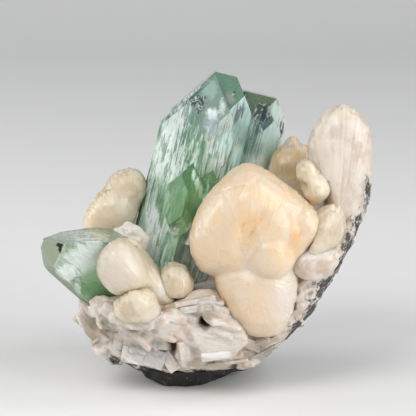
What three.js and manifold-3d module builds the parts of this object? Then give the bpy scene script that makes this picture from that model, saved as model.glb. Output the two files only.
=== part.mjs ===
// A mineral cluster: green apophyllite crystals and peach stilbite sheaves, grown on a bed of
// stilbite blades that lines a broken shell of basalt. Millimetres, Z up, X to the right, Y back.
import * as THREE from "three";
import { mergeVertices } from "three/addons/utils/BufferGeometryUtils.js";
import Module from "manifold-3d";

const wasm = await Module();
wasm.setup();

// ---- Driving dimensions --------------------------------------------------------------------

const GAP = 0.3; // clearance between pieces that touch
const BIG = 160; // larger than the whole cluster
const SAME_SPOT = 1e-4; // corners closer than this are one

// The basalt is the lower end of an egg-shaped nodule, broken off at the front, back and top.
const ROCK_CENTRE = [-2, 3, 73];
const ROCK_RADII = [53, 38, 78];
const ROCK_LEAN_RIGHT = 6.8;
const ROCK_SKIN = 4.3; // thickness of the shell
const ROCK_ROUGHNESS = 1; // height of its small bumps
const OUTER_DETAIL = 4; // how finely the outside of the egg is divided
const INNER_DETAIL = 3;
const FOOT = -1.5; // height of the flat that it stands on
const BOSS_HEIGHT = 7;
const BOSS_SPREAD = 1.25; // how much wider the boss is at its upper end
const FRONT_BREAK = { y: -31, z: 12, back_per_rise: 0.6 };
const BARE_ROCK_BEHIND = 2; // the rock itself is broken off this far behind the bed
const BACK_BREAK = 32;
const CRUST_BACK = -7; // in front of this the bed's crust reaches the outside of the rock
const CRUST_LOW = 4.6; // bare rock shows below this

// All crystals of the main group share one lattice: the same long axis, the same face angles.
const GROUP_FOOT = [-12.8, 2, 25.2];
const GROUP_LEAN_RIGHT = 14;
const GROUP_LEAN_BACK = 8;
const PYRAMID_SLOPE = 1.4; // drop of a tip face per millimetre away from the axis

// ---- Solids --------------------------------------------------------------------------------

function solid(geometry) {
  const bare = new THREE.BufferGeometry();
  bare.setAttribute("position", geometry.getAttribute("position"));
  bare.setIndex(geometry.index);
  const merged = mergeVertices(bare, SAME_SPOT);
  const vertProperties = new Float32Array(merged.attributes.position.array);
  const triVerts = new Uint32Array(merged.index.array);
  return new wasm.Manifold(new wasm.Mesh({ numProp: 3, vertProperties, triVerts }));
}

function geometryOf(body) {
  const { vertProperties, triVerts } = body.getMesh();
  const geometry = new THREE.BufferGeometry();
  geometry.setAttribute("position", new THREE.BufferAttribute(vertProperties, 3));
  geometry.setIndex(new THREE.BufferAttribute(triVerts, 1));
  geometry.computeVertexNormals();
  return geometry;
}

const joined = (bodies) => bodies.reduce((all, body) => all.add(body));
const common = (bodies) => bodies.reduce((all, body) => all.intersect(body));
const largest = (body) => body.decompose().sort((a, b) => b.volume() - a.volume())[0];

// Everything on the inner side of a plane, as a large block whose face lies on the plane.
function halfSpace(point, outward) {
  const normal = new THREE.Vector3(...outward).normalize();
  const turn = new THREE.Quaternion().setFromUnitVectors(new THREE.Vector3(0, 0, 1), normal);
  const block = new THREE.BoxGeometry(2 * BIG, 2 * BIG, BIG).translate(0, 0, -BIG / 2);
  return solid(block.applyQuaternion(turn).translate(...point));
}

// The same, for the plane through three corners; `inside` is any point on the kept side.
function behindFace(a, b, c, inside, grow) {
  const plane = new THREE.Plane().setFromCoplanarPoints(
    new THREE.Vector3(...a),
    new THREE.Vector3(...b),
    new THREE.Vector3(...c),
  );
  if (plane.distanceToPoint(new THREE.Vector3(...inside)) > 0) plane.negate();
  const point = new THREE.Vector3(...a).addScaledVector(plane.normal, grow);
  return halfSpace(point.toArray(), plane.normal.toArray());
}

// A repeatable sequence of numbers between 0 and 1.
function chance(seed) {
  let state = seed;
  return () => {
    state = (state * 16807) % 2147483647;
    return state / 2147483647;
  };
}

// ---- Basalt --------------------------------------------------------------------------------

// An egg of the rock's proportions, with small uneven facets.
function egg(inset, detail) {
  const even = new THREE.IcosahedronGeometry(1, detail);
  even.deleteAttribute("normal");
  even.deleteAttribute("uv");
  const ball = mergeVertices(even, SAME_SPOT);
  const spot = ball.attributes.position;
  const random = chance(11);
  for (let i = 0; i < spot.count; i++) {
    const swell = 1 + ((random() - 0.5) * ROCK_ROUGHNESS) / ROCK_RADII[0];
    const [x, y, z] = [spot.getX(i), spot.getY(i), spot.getZ(i)];
    const reach = ROCK_RADII.map((radius) => (radius - inset) * swell);
    spot.setXYZ(i, x * reach[0], y * reach[1], z * reach[2]);
  }
  ball.rotateY(THREE.MathUtils.degToRad(ROCK_LEAN_RIGHT));
  return solid(ball.translate(...ROCK_CENTRE));
}

// An outline with every side moved out by the same distance; its corners run anticlockwise.
function widened(outline, distance) {
  const corners = outline.map((corner) => new THREE.Vector2(...corner));
  if (THREE.ShapeUtils.isClockWise(corners)) corners.reverse();
  const outwards = corners.map((corner, i) => {
    const side = corners[(i + 1) % corners.length].clone().sub(corner).normalize();
    return new THREE.Vector2(side.y, -side.x);
  });
  return corners.map((corner, i) => {
    const [before, after] = [outwards.at(i - 1), outwards[i]];
    const reach = distance / (1 + before.dot(after));
    return corner.clone().addScaledVector(before, reach).addScaledVector(after, reach).toArray();
  });
}

// A closed outline drawn in the XZ plane, as a slab from y = front to y = back.
function slab(outline, front, back, grow = 0) {
  const corners = widened(outline, grow).map(([x, z]) => new THREE.Vector2(x, z));
  const options = { depth: back - front + 2 * grow, bevelEnabled: false };
  const block = new THREE.ExtrudeGeometry(new THREE.Shape(corners), options);
  return solid(block.rotateX(Math.PI / 2).translate(0, back + grow, 0));
}

const ROCK_OUTLINE = [
  [-34, 36], [-36, 26], [-35, 20], [-31, 14.6], [-26, 10], [-21, 6], [-18, -5], [60, -5],
  [60, 53], [42, 54], [30, 52], [12, 40], [-14, 38],
];

// What lies behind the sloping break at the front.
function behindBreak(grow) {
  const { y, z, back_per_rise } = FRONT_BREAK;
  const reach = grow * Math.hypot(1, back_per_rise);
  return halfSpace([0, y - reach, z], [0, -1, back_per_rise]);
}

// The hollow of the shell, which the bed fills.
function hollow() {
  const inside = egg(ROCK_SKIN - GAP, INNER_DETAIL);
  return inside.intersect(halfSpace([0, BACK_BREAK - ROCK_SKIN + GAP, 0], [0, 1, 0]));
}

// The boss under the rock, worn flat below: the outline of the flat in the XY plane, round a
// centre from which the boss spreads upwards.
const BOSS_CENTRE = [-4, 3];
const BOSS_OUTLINE = [
  [-14, -6.5], [-9, -14], [-1.5, -14.8], [3, -13.3], [6, -9.6], [9, -6], [13, 1], [16, 7],
  [13, 14], [0, 17], [-12, 12], [-15, 4],
];

function boss() {
  const shape = new THREE.Shape(BOSS_OUTLINE.map((corner) => new THREE.Vector2(...corner)));
  const block = new THREE.ExtrudeGeometry(shape, { depth: BOSS_HEIGHT, bevelEnabled: false });
  const spot = block.attributes.position;
  for (let i = 0; i < spot.count; i++) {
    const wide = spot.getZ(i) > 0 ? BOSS_SPREAD : 1;
    spot.setXY(i, spot.getX(i) * wide, spot.getY(i) * wide);
  }
  return solid(block.translate(...BOSS_CENTRE, FOOT));
}

function basalt() {
  const shell = common([
    egg(0, OUTER_DETAIL),
    slab(ROCK_OUTLINE, -BIG / 2, BACK_BREAK),
    halfSpace([0, 0, FOOT], [0, 0, -1]),
    behindBreak(-BARE_ROCK_BEHIND),
  ]);
  return joined([shell, boss()]).subtract(hollow());
}

// ---- Stilbite bed --------------------------------------------------------------------------

// The bed fills the shell: a low floor in front, a wall up the right side, a ridge at the back.
const FLOOR_OUTLINE = [
  [-38, 26], [-37, 20], [-33, 14.6], [-27, 9.7], [-21, 7], [-16, -5], [60, -5], [52, 65],
  [49, 66.5], [44, 67], [40, 66], [36, 50], [28, 36], [15, 29], [0, 28], [-20, 30],
];
const RIDGE_OUTLINE = [
  [-37, 20], [-30, 12], [60, -5], [52, 62], [44, 60], [34, 50], [20, 46], [8, 40], [-10, 37],
  [-26, 41], [-36, 40],
];
const RIDGE_FRONT = 3;
const CRUST_OUTLINE = [
  [-38, 26], [-37, 20], [-34, 12], [-29, 8], [-22, 5], [-16, -5], [60, -5], [60, 60],
  [50, 63], [42, 60], [36, 46], [20, 30], [0, 28], [-20, 30],
];

// Blades and ledges that stand out of the bed's broken front: place, length, thickness and
// width, and turn in degrees.
const BLADES = [
  { at: [-2, -21, 28], size: [14, 5, 6], turn: [25, -8, 0] },
  { at: [2, -22, 25], size: [11, 5, 5], turn: [0, 15, 0] },
  { at: [4, -23, 19], size: [17, 9, 12], turn: [10, 12, 0] },
  { at: [2, -19, 11], size: [16, 8, 5], turn: [0, -4, 0] },
  { at: [15, -15, 11.5], size: [14, 8, 6], turn: [0, -38, 0] },
  { at: [-8, -22, 15], size: [13, 6, 5], turn: [0, 60, 0] },
  { at: [-17, -18, 11.5], size: [14, 6, 7], turn: [0, 25, 10] },
  { at: [-20, -22, 20], size: [14, 6, 7], turn: [0, 10, -10] },
  { at: [-28, -16, 12.6], size: [12, 7, 7], turn: [0, 40, 0] },
  { at: [-33, -16, 21], size: [13, 7, 7], turn: [0, 75, 0] },
  { at: [-29, -20, 26], size: [12, 7, 7], turn: [0, 15, -20] },
  { at: [25, -17, 26], size: [11, 7, 7], turn: [0, -45, 0] },
  { at: [33, -14, 37], size: [11, 7, 8], turn: [0, -55, 0] },
  { at: [-11, -23, 23], size: [12, 6, 6], turn: [0, -30, 0] },
  { at: [41, -8, 48], size: [11, 7, 8], turn: [0, -70, 0] },
  { at: [44, -3, 58], size: [12, 7, 7], turn: [0, -82, 0] },
];

// Low rounded tufts on the ridge at the back: place and half sizes.
const TUFTS = [
  { at: [-31, 14, 39], size: [6, 7, 5] },
  { at: [-22, 21, 38], size: [7, 6, 5] },
  { at: [-8, 25, 37], size: [6, 5, 5] },
  { at: [6, 25, 41], size: [6, 5, 6] },
  { at: [34, 20, 51], size: [6, 6, 6] },
  { at: [43, 12, 58], size: [4, 6, 6] },
];

// Open holes between the blades.
const PITS = [
  { at: [0, -24, 22.5], size: [2.4, 7, 2.4] },
  { at: [-9.7, -22, 15], size: [1.8, 7, 3.4] },
  { at: [9.6, -12, 6.5], size: [3.4, 5, 1.6] },
];

// A flat six-sided blade, pointed at both ends.
function blade({ at, size, turn }, grow) {
  const [length, thickness, width] = size.map((side) => side + 2 * grow);
  const shape = new THREE.CylinderGeometry(1, 1, thickness, 6, 1, false, Math.PI / 6);
  shape.rotateY(Math.PI / 3).scale(length / 2, 1, width / Math.sqrt(3));
  const angles = new THREE.Euler(...turn.map(THREE.MathUtils.degToRad));
  const place = new THREE.Matrix4().makeRotationFromEuler(angles).setPosition(...at);
  return solid(shape.applyMatrix4(place));
}

// A rounded lump of flat facets.
function lump({ at, size }, grow) {
  const round = new THREE.IcosahedronGeometry(1, 1).scale(...size.map((side) => side + grow));
  return solid(round.translate(...at));
}

function bed(grow) {
  const behind = BACK_BREAK - ROCK_SKIN;
  const lining = common([
    egg(ROCK_SKIN - grow, INNER_DETAIL),
    joined([
      slab(FLOOR_OUTLINE, -BIG / 2, behind, grow),
      slab(RIDGE_OUTLINE, RIDGE_FRONT, behind, grow),
    ]),
  ]);
  const crust = common([
    egg(-GAP - grow, OUTER_DETAIL),
    slab(CRUST_OUTLINE, -BIG / 2, CRUST_BACK, grow),
    halfSpace([0, 0, CRUST_LOW - grow], [0, 0, -1]),
  ]);
  const body = common([joined([lining, crust]), behindBreak(grow)]);
  const blades = BLADES.map((place) => blade(place, grow));
  const tufts = TUFTS.map((place) => lump(place, grow));
  const pits = PITS.map((place) => lump(place, -grow));
  return joined([body, ...blades, ...tufts]).subtract(joined(pits));
}

// ---- Apophyllite ---------------------------------------------------------------------------

// A square prism standing on one corner towards the front, capped by four tip faces that sit on
// its edges. `half` is the axis-to-edge distance, `tip` the height where the tip faces would
// meet, `top` a flat cut across them and `root` the lower end. `tail` closes it below as well.
function tetragonal({ x = 0, y = 0, half, tip, top = tip, root = 0, tail }, grow = 0) {
  const corner = half + grow * Math.SQRT2;
  const peak = tip + grow * Math.hypot(1, PYRAMID_SLOPE);
  const level = Math.min(top + grow, peak - 0.01);
  const foot = root - grow;
  const spread = (height) => (Math.SQRT2 * height) / PYRAMID_SLOPE;
  const prism = new THREE.CylinderGeometry(corner, corner, level - foot, 4);
  const cap = new THREE.CylinderGeometry(
    spread(peak - level),
    spread(peak - foot),
    level - foot,
    4,
    1,
    false,
    Math.PI / 4,
  );
  const faces = [prism, cap];
  if (tail !== undefined) {
    const low = tail - grow * Math.hypot(1, PYRAMID_SLOPE);
    const rise = level - low;
    const under = new THREE.CylinderGeometry(spread(rise), 0, rise, 4, 1, false, Math.PI / 4);
    faces.push(under.translate(0, (low - foot) / 2, 0));
  }
  const upright = faces.map((face) =>
    solid(face.rotateX(Math.PI / 2).translate(x, y, (level + foot) / 2)),
  );
  return common(upright);
}

// The main group in its own frame: Z along the crystals, X across them to the right.
const GROUP = [
  { half: 12.4, tip: 66, root: -3 }, // the large one in front
  { x: -0.3, y: 4, half: 12.6, tip: 66.8 }, // its twin, just behind
  { x: 3, y: 8, half: 13.6, tip: 72.2, top: 67.5 }, // the tallest, blunt at the top
  { x: 15, y: 14, half: 10.3, tip: 71, top: 63.8 }, // the right one, blunt at the top
  { x: 18, y: 8.5, half: 5.4, tip: 61 }, // a slim one between the right one and the tallest
  { x: -0.9, y: -11, half: 6, tip: 40.6, root: 14, tail: 16.5 }, // small, on the front
  { x: 5.3, y: -9.5, half: 3.6, tip: 39.6, root: 16 }, // smaller, beside it
];

function mainGroup(grow) {
  const lean = new THREE.Euler(
    THREE.MathUtils.degToRad(-GROUP_LEAN_BACK),
    THREE.MathUtils.degToRad(GROUP_LEAN_RIGHT),
    0,
    "YXZ",
  );
  const place = new THREE.Matrix4().makeRotationFromEuler(lean).setPosition(...GROUP_FOOT);
  return joined(GROUP.map((crystal) => tetragonal(crystal, grow))).transform(place.elements);
}

// The blunt crystal on the left, lying low with its tip towards the upper left: its outline in
// the XZ plane, and the flat faces that bevel it towards the front and the back.
const LEFT_OUTLINE = [
  [-47.6, 47], [-48.4, 44.2], [-47.7, 37.6], [-34.8, 25.2], [-22, 20], [-20, 44], [-28.7, 46.5],
  [-36, 47.1],
];
const LEFT_DEPTH = { front: -30, back: -7 };
const LEFT_FACES = [
  [[-41.7, -26, 44.9], [-28.5, -22, 46.9], [-37.4, -23, 31.5]], // broad front
  [[-41.7, -26, 44.9], [-45.6, -25, 40.7], [-47.2, -22.5, 45]], // tip
  [[-47.7, -22.5, 44.7], [-45.7, -24.4, 40.5], [-47.6, -20, 37.8]], // sliver beside the tip
  [[-45.5, -24, 39.5], [-37.4, -23, 31.5], [-41.2, -18, 31.4]], // underside
  [[-47.4, -20, 47], [-43, -13, 47], [-47.4, -20, 40]], // far corner
  [[-43, -13, 47], [-36, -9, 47], [-38, -8, 36]], // back
  [[-41, -10, 34], [-36, -7, 36], [-38, -14, 28.4]], // back, below
];
const LEFT_INSIDE = [-38, -17, 38];

function leftCrystal(grow) {
  const faces = LEFT_FACES.map(([a, b, c]) => behindFace(a, b, c, LEFT_INSIDE, grow));
  return common([slab(LEFT_OUTLINE, LEFT_DEPTH.front, LEFT_DEPTH.back, grow), ...faces]);
}

// ---- Stilbite sheaves ----------------------------------------------------------------------

// How far a smooth closed outline reaches from its centre in a given direction.
function reachOf(outline) {
  const corners = outline.map(([x, z]) => new THREE.Vector3(x, z, 0));
  const rim = new THREE.CatmullRomCurve3(corners, true, "centripetal").getPoints(120);
  return (angle) => {
    const [dx, dz] = [Math.cos(angle), Math.sin(angle)];
    let far = 0;
    for (let i = 1; i < rim.length; i++) {
      const [a, b] = [rim[i - 1], rim[i]];
      const [ex, ez] = [b.x - a.x, b.y - a.y];
      const across = dx * ez - dz * ex;
      if (Math.abs(across) < 1e-9) continue;
      const along = (a.x * ez - a.y * ex) / across;
      const share = (a.x * dz - a.y * dx) / across;
      if (share >= 0 && share <= 1 && along > far) far = along;
    }
    return far;
  };
}

// A lobe: a smooth outline round `at` in the XZ plane that domes towards the front and the back.
// `fullness` under 1 gives it a flatter face and a rounder rim.
function lobe({ at, outline, front, back = front, fullness = 0.7, around = 20, rings = 8 }, grow) {
  const ball = new THREE.SphereGeometry(1, around, rings);
  const spot = ball.attributes.position;
  const reach = reachOf(outline);
  for (let i = 0; i < spot.count; i++) {
    const [x, y, z] = [spot.getX(i), spot.getY(i), spot.getZ(i)];
    const out = Math.hypot(x, z) ** fullness;
    const angle = Math.atan2(z, x);
    const far = out * (reach(angle) + grow);
    const deep = y * ((y < 0 ? front : back) + grow);
    spot.setXYZ(i, far * Math.cos(angle), deep, far * Math.sin(angle));
  }
  return solid(ball.translate(...at));
}

const sheaf = (lobes) => (grow) => joined(lobes.map((shape) => lobe(shape, grow)));

const CENTRE_SHEAF = [
  {
    at: [14.6, -14, 50.7],
    outline: [
      [-19.3, -5.9], [-18.1, -0.2], [-15.5, 5.3], [-7.6, 14.3], [-2.6, 17.2], [8.3, 11],
      [17.7, 2.6], [19.3, -2.9], [15.5, -9], [9.7, -13.9], [-5.1, -17.3], [-16.4, -14.8],
    ],
    front: 14,
    back: 10,
    around: 26,
    rings: 11,
  },
  {
    at: [18.6, -20.5, 42.8],
    outline: [
      [-7.2, -1.5], [-5.4, 4.3], [-2.4, 7.1], [3, 7.4], [7.2, 2.5], [6.9, -3.7], [2, -7.3],
      [-4.8, -6.2],
    ],
    front: 9.3,
    back: 5,
    around: 16,
  },
  {
    at: [28.8, -19, 50],
    outline: [[-4.3, 3.6], [-0.3, 6.6], [4.8, 1.2], [-0.7, -6.7], [-4.9, -0.6]],
    front: 5.5,
    back: 6,
    around: 16,
  },
  {
    at: [15, -18, 29.3],
    outline: [
      [-12.1, 8], [-10.3, -1.8], [-4.4, -10.7], [-0.2, -12.3], [7.1, -11.3], [11.5, -1.2],
      [12, 4.9], [10.2, 10.4], [-2.1, 14],
    ],
    front: 10,
    back: 9,
    around: 24,
  },
];

const BACK_LEFT_SHEAF = [
  {
    at: [-28.7, 5, 48.3],
    outline: [
      [-8.3, -5.4], [-8.5, -1], [-3.3, 6.4], [4.6, 8.9], [8.4, -0.4], [0.2, -8.9], [-5, -8.5],
    ],
    front: 7,
    back: 7,
  },
  {
    at: [-24, 8, 55.2],
    outline: [[-6.9, 0.7], [-2.9, 5.4], [3.4, 6], [7, -2.1], [-1.5, -6.1]],
    front: 6,
    back: 6,
  },
];

const FRONT_LEFT_SHEAF = [
  {
    at: [-24.4, -22, 38.7],
    outline: [
      [-8, 1.2], [-4.1, 7.9], [0.5, 8.2], [7.2, 0.6], [8, -4.5], [-0.8, -8.2], [-5.4, -5.1],
    ],
    front: 8,
    back: 8,
  },
  {
    at: [-16, -17, 35],
    outline: [
      [-8, 11.1], [-4.2, 9.3], [0.2, 3.5], [8.9, -9], [7.2, -11.2], [1.9, -8.7], [-6.3, 1.4],
    ],
    front: 6,
    back: 6,
  },
];

const RIGHT_FAN = [
  {
    at: [40, -4, 60.9],
    outline: [
      [-9.1, 4.9], [-9.4, 12.5], [-4, 20.9], [0.7, 22.6], [7.6, 17], [9.3, 4.9], [6.9, -11.4],
      [0.2, -22.5], [-3.9, -11.1], [-5.8, 0.3],
    ],
    front: 7,
    back: 7,
    around: 28,
  },
];

const BACK_PLATE = [
  {
    at: [26.6, 14, 56.8],
    outline: [[-4.7, 8.9], [4.7, 9.8], [7.5, 5.8], [7.7, -8.3], [-0.9, -9.9], [-7.7, -3.6]],
    front: 6,
    back: 6,
    fullness: 0.5,
  },
  { at: [26.2, 14, 65.9], outline: [[-2.8, 0], [0, 4.2], [2.8, 0], [0, -4.4]], front: 3 },
];

const small = (at, outline, front) => [{ at, outline, front, around: 16, rings: 7 }];

const SINGLE_LOBES = {
  stilbite_nub_middle: small(
    [-8.8, -17, 32.7],
    [[-5, 0.1], [-2.4, 5.9], [3.5, 3.7], [4.1, -3.9], [-3, -4.2]],
    6,
  ),
  stilbite_nub_lower: small(
    [-19.9, -26, 28.3],
    [[-6.3, -1.2], [-2.5, 5.2], [4.2, 3.4], [5.3, -3.3], [-4.6, -4.5]],
    6,
  ),
  stilbite_bud_right: small(
    [31.3, -9, 61.2],
    [[-4.5, 3.5], [-1.3, 6.8], [2.9, 1.4], [4.4, -2.2], [0, -6.8], [-2.7, -0.4]],
    5.5,
  ),
  stilbite_lobe_right: small(
    [34.1, -15, 48.6],
    [[-6.1, -5.4], [-1.8, 4], [4.6, 6.4], [5.3, -2.1], [-1.7, -6.7]],
    6,
  ),
  stilbite_lobe_right_lower: small(
    [31.9, -17, 39.5],
    [[-7.6, -0.9], [-0.9, 4.2], [7.6, 2.1], [2.1, -4], [-3.7, -4.6]],
    7,
  ),
};

// ---- Assembly ------------------------------------------------------------------------------

const finish = (color, roughness) => new THREE.MeshStandardMaterial({ color, roughness });
const GREEN = finish(0x9cc9aa, 0.12);
const PEACH = finish(0xf0d9b5, 0.55);
const PALE = finish(0xe6d3c4, 0.7);
const DARK = finish(0x4a4744, 0.85);

// Each piece is cut clear of the pieces listed before it, which keep their own shape.
const PIECES = [
  ["apophyllite_main_group", mainGroup, GREEN],
  ["apophyllite_left", leftCrystal, GREEN],
  ["stilbite_sheaf_centre", sheaf(CENTRE_SHEAF), PEACH],
  ["stilbite_sheaf_front_left", sheaf(FRONT_LEFT_SHEAF), PEACH],
  ["stilbite_sheaf_back_left", sheaf(BACK_LEFT_SHEAF), PEACH],
  ["stilbite_fan_right", sheaf(RIGHT_FAN), PALE],
  ["stilbite_plate_back", sheaf(BACK_PLATE), PALE],
  ...Object.entries(SINGLE_LOBES).map(([name, lobes]) => [name, sheaf(lobes), PEACH]),
  ["stilbite_bed", bed, PALE],
  ["basalt_matrix", basalt, DARK],
];

const cluster = new THREE.Group();
const placed = [];
for (const [name, make, material] of PIECES) {
  const body = largest(placed.reduce((rest, other) => rest.subtract(other), make(0)));
  const mesh = new THREE.Mesh(geometryOf(body), material);
  mesh.name = name;
  cluster.add(mesh);
  placed.push(make(GAP));
}

// The origin is under the middle of the whole cluster, on the surface that it stands on.
const bounds = new THREE.Box3().setFromObject(cluster);
const middle = bounds.getCenter(new THREE.Vector3());
cluster.position.set(-middle.x, -middle.y, -bounds.min.z);

export default cluster;
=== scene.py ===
import math
import random

import bmesh
import bpy
from mathutils import Euler, Matrix, Vector, noise
from mathutils.bvhtree import BVHTree
from mathutils.geometry import intersect_point_line


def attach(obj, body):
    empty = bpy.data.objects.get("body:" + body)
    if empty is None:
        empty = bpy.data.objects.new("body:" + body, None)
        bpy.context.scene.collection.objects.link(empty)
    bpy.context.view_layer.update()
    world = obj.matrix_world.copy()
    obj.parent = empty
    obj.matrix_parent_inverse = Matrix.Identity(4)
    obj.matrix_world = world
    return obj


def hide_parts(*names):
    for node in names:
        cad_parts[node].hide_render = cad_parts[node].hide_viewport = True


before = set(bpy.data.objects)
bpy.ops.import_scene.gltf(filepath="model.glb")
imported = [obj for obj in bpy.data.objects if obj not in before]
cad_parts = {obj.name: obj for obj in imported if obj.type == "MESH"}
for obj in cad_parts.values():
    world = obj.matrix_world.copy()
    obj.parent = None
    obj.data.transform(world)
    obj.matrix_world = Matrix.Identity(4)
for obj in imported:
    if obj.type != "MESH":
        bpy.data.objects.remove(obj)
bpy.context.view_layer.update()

MM = 0.001

# ---- Camera --------------------------------------------------------------------------------
# A long lens looks slightly down on the cluster from the front. Lengths are in metres, and the
# lists of places and the focal length are in mm.
CAMERA_AIM = Vector((0.1, -0.97, 52.5)) * MM
CAMERA_DISTANCE = 0.7
CAMERA_RISE = math.radians(14)
FOCAL_LENGTH = 201.92

lens = bpy.data.cameras.new("lens")
lens.lens = FOCAL_LENGTH
camera = bpy.data.objects.new("camera", lens)
bpy.context.collection.objects.link(camera)
back_off = Vector((0, -math.cos(CAMERA_RISE), math.sin(CAMERA_RISE)))
camera.location = CAMERA_AIM + back_off * CAMERA_DISTANCE
camera.rotation_euler = (math.pi / 2 - CAMERA_RISE, 0, 0)
bpy.context.scene.camera = camera

# ---- Basalt --------------------------------------------------------------------------------
# The shell that everything grows on: the lower end of a hollow nodule of dark, fine-grained
# basalt. It is broken off at the rim, rough and speckled outside, and stands loose on its foot.
ROCK_GRAIN = 0.55 * MM
ROCK_ROUNDS = 6
ROCK_LUMPS = 5 * MM
ROCK_CHIPS = 1.6 * MM
ROCK_RELIEF = 0.5 * MM
ROCK_GRIT = 0.5 * MM
ROCK_SPECKS = 1.3 * MM
ROCK_DUST = 5 * MM
DUSTY_SIDE = (20 * MM, 35 * MM)
FOOT_LEVEL = 0.6 * MM
MERGE = 0.001 * MM
HOLLOW_ROUNDS = 12


def copied(node, name):
    """A merged copy of a CAD node, as a new object."""
    shape = bmesh.new()
    shape.from_mesh(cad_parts[node].data)
    bmesh.ops.remove_doubles(shape, verts=shape.verts, dist=MERGE)
    mesh = bpy.data.meshes.new(name)
    shape.to_mesh(mesh)
    shape.free()
    piece = bpy.data.objects.new(name, mesh)
    bpy.context.collection.objects.link(piece)
    return piece


def applied(piece):
    """The mesh that a piece's modifiers make."""
    graph = bpy.context.evaluated_depsgraph_get()
    return bpy.data.meshes.new_from_object(piece.evaluated_get(graph))


def softened(piece, rounds):
    """The piece's mesh with its facets and bumps rounded off."""
    smooth = piece.modifiers.new("smooth", "SMOOTH")
    smooth.factor = 0.5
    smooth.iterations = rounds
    mesh = applied(piece)
    piece.modifiers.clear()
    return mesh


def refined(piece, grain, rounds):
    """Gives a piece an even fine mesh and rounds its facets off."""
    remesh = piece.modifiers.new("remesh", "REMESH")
    remesh.mode = "VOXEL"
    remesh.voxel_size = grain
    piece.data = applied(piece)
    piece.modifiers.clear()
    piece.data = softened(piece, rounds)
    for face in piece.data.polygons:
        face.use_smooth = True


def raised(piece, relief):
    """Moves each point of a piece by relief(place, normal), and notes how hollow it lies."""
    mesh = piece.data
    moves = [relief(vert.co, vert.normal) for vert in mesh.vertices]
    for vert, move in zip(mesh.vertices, moves):
        vert.co += move
    mesh.update()
    hollow = mesh.attributes.new("hollow", "FLOAT", "POINT")
    for vert, soft in zip(mesh.vertices, softened(piece, HOLLOW_ROUNDS).vertices):
        hollow.data[vert.index].value = (soft.co - vert.co).dot(vert.normal) / MM


def settled(piece, node):
    """The piece stands in for its CAD node: it hangs from the root, and the node is hidden."""
    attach(piece, "root")
    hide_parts(node)


class Value:
    """The number or vector that a socket of a finish gives, with arithmetic."""

    def __init__(self, finish, socket):
        self.finish = finish
        self.socket = socket

    def maths(self, operation, *others):
        """This number and others through a Math node."""
        inputs = dict(enumerate((self, *others)))
        return self.finish.node("Math", {"operation": operation}, inputs)

    def __add__(self, other):
        return self.maths("ADD", other)

    def __sub__(self, other):
        return self.maths("SUBTRACT", other)

    def __rsub__(self, other):
        inputs = {0: other, 1: self}
        return self.finish.node("Math", {"operation": "SUBTRACT"}, inputs)

    def __mul__(self, other):
        return self.maths("MULTIPLY", other)

    __radd__ = __add__
    __rmul__ = __mul__


class Finish:
    """A material under construction."""

    def __init__(self, name):
        self.material = bpy.data.materials.new(name)
        self.material.use_nodes = True
        self.tree = self.material.node_tree
        self.tree.nodes.clear()

    def node(self, kind, settings=None, inputs=None, output=0):
        """Adds a node, its settings first and then the values or links of its sockets."""
        node = self.tree.nodes.new("ShaderNode" + kind)
        for name, setting in (settings or {}).items():
            setattr(node, name, setting)
        for key, value in (inputs or {}).items():
            socket = node.inputs[key]
            if isinstance(value, Value):
                self.tree.links.new(value.socket, socket)
            else:
                socket.default_value = value
        if node.outputs:
            return Value(self, node.outputs[output])

    def place(self, origin=(0, 0, 0), turn=(0, 0, 0), scale=(1, 1, 1)):
        """Object coordinates, seen from a turned and scaled frame at origin."""
        spot = self.node("TexCoord", output="Object")
        inputs = {"Vector": spot, "Location": origin, "Rotation": turn, "Scale": scale}
        return self.node("Mapping", {"vector_type": "TEXTURE"}, inputs)

    def axis(self, vector, name):
        """One of the three parts of a vector."""
        return self.node("SeparateXYZ", {}, {0: vector}, output=name)

    def scaled(self, vector, scale):
        """A vector with its three parts multiplied by those of a scale."""
        return self.node("VectorMath", {"operation": "MULTIPLY"}, {0: vector, 1: scale})

    def cloud(self, size, detail, roughness, vector=None, distortion=0):
        """Soft noise around 0.5 with lumps of a size, in metres unless a vector is given."""
        inputs = {
            "Vector": vector or self.place(),
            "Scale": 1 / size,
            "Detail": detail,
            "Roughness": roughness,
            "Distortion": distortion,
        }
        return self.node("TexNoise", {}, inputs)

    def band(self, value, low, high):
        """0 below low, 1 above high and smooth between; the other way round if low > high."""
        inputs = {"Value": value, "From Min": low, "From Max": high}
        return self.node("MapRange", {"interpolation_type": "SMOOTHSTEP"}, inputs)

    def mix(self, factor, first, second):
        """The first colour where the factor is 0 and the second where it is 1."""
        # The node's sockets for colours share their names with others, so they go by number.
        return self.node("Mix", {"data_type": "RGBA"}, {0: factor, 6: first, 7: second}, output=2)

    def patch(self, centre, reach, ragged, core=0.5):
        """
        1 in the core of a soft round patch and 0 outside it; the centre and reach are in mm,
        and ragged is noise around 0 that breaks its edge up.
        """
        ray = self.place(origin=Vector(centre) * MM, scale=Vector(reach) * MM)
        away = self.node("VectorMath", {"operation": "LENGTH"}, {0: ray}, output="Value")
        return self.band(away + ragged, 1.0, core)

    def mark(self, name):
        """A number that the mesh keeps at each point."""
        return self.node("Attribute", {"attribute_name": name}, output="Fac")

    def bump(self, height, distance, strength):
        """Fine relief, given to a shader as its normal."""
        inputs = {"Height": height, "Distance": distance, "Strength": strength}
        return self.node("Bump", {}, inputs)

    def surface(self, shader, volume=None):
        """Closes the material with its surface shader, and what fills it."""
        inputs = {"Surface": shader}
        if volume:
            inputs["Volume"] = volume
        self.node("OutputMaterial", {}, inputs)
        return self.material


def colour(red, green, blue):
    """A solid colour."""
    return (red, green, blue, 1)


ROCK_DARK = colour(0.01, 0.01, 0.01)
ROCK_GREY = colour(0.045, 0.043, 0.04)
ROCK_DUSTY = colour(0.2, 0.185, 0.17)
ROCK_FLECK = colour(0.6, 0.58, 0.56)


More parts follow.
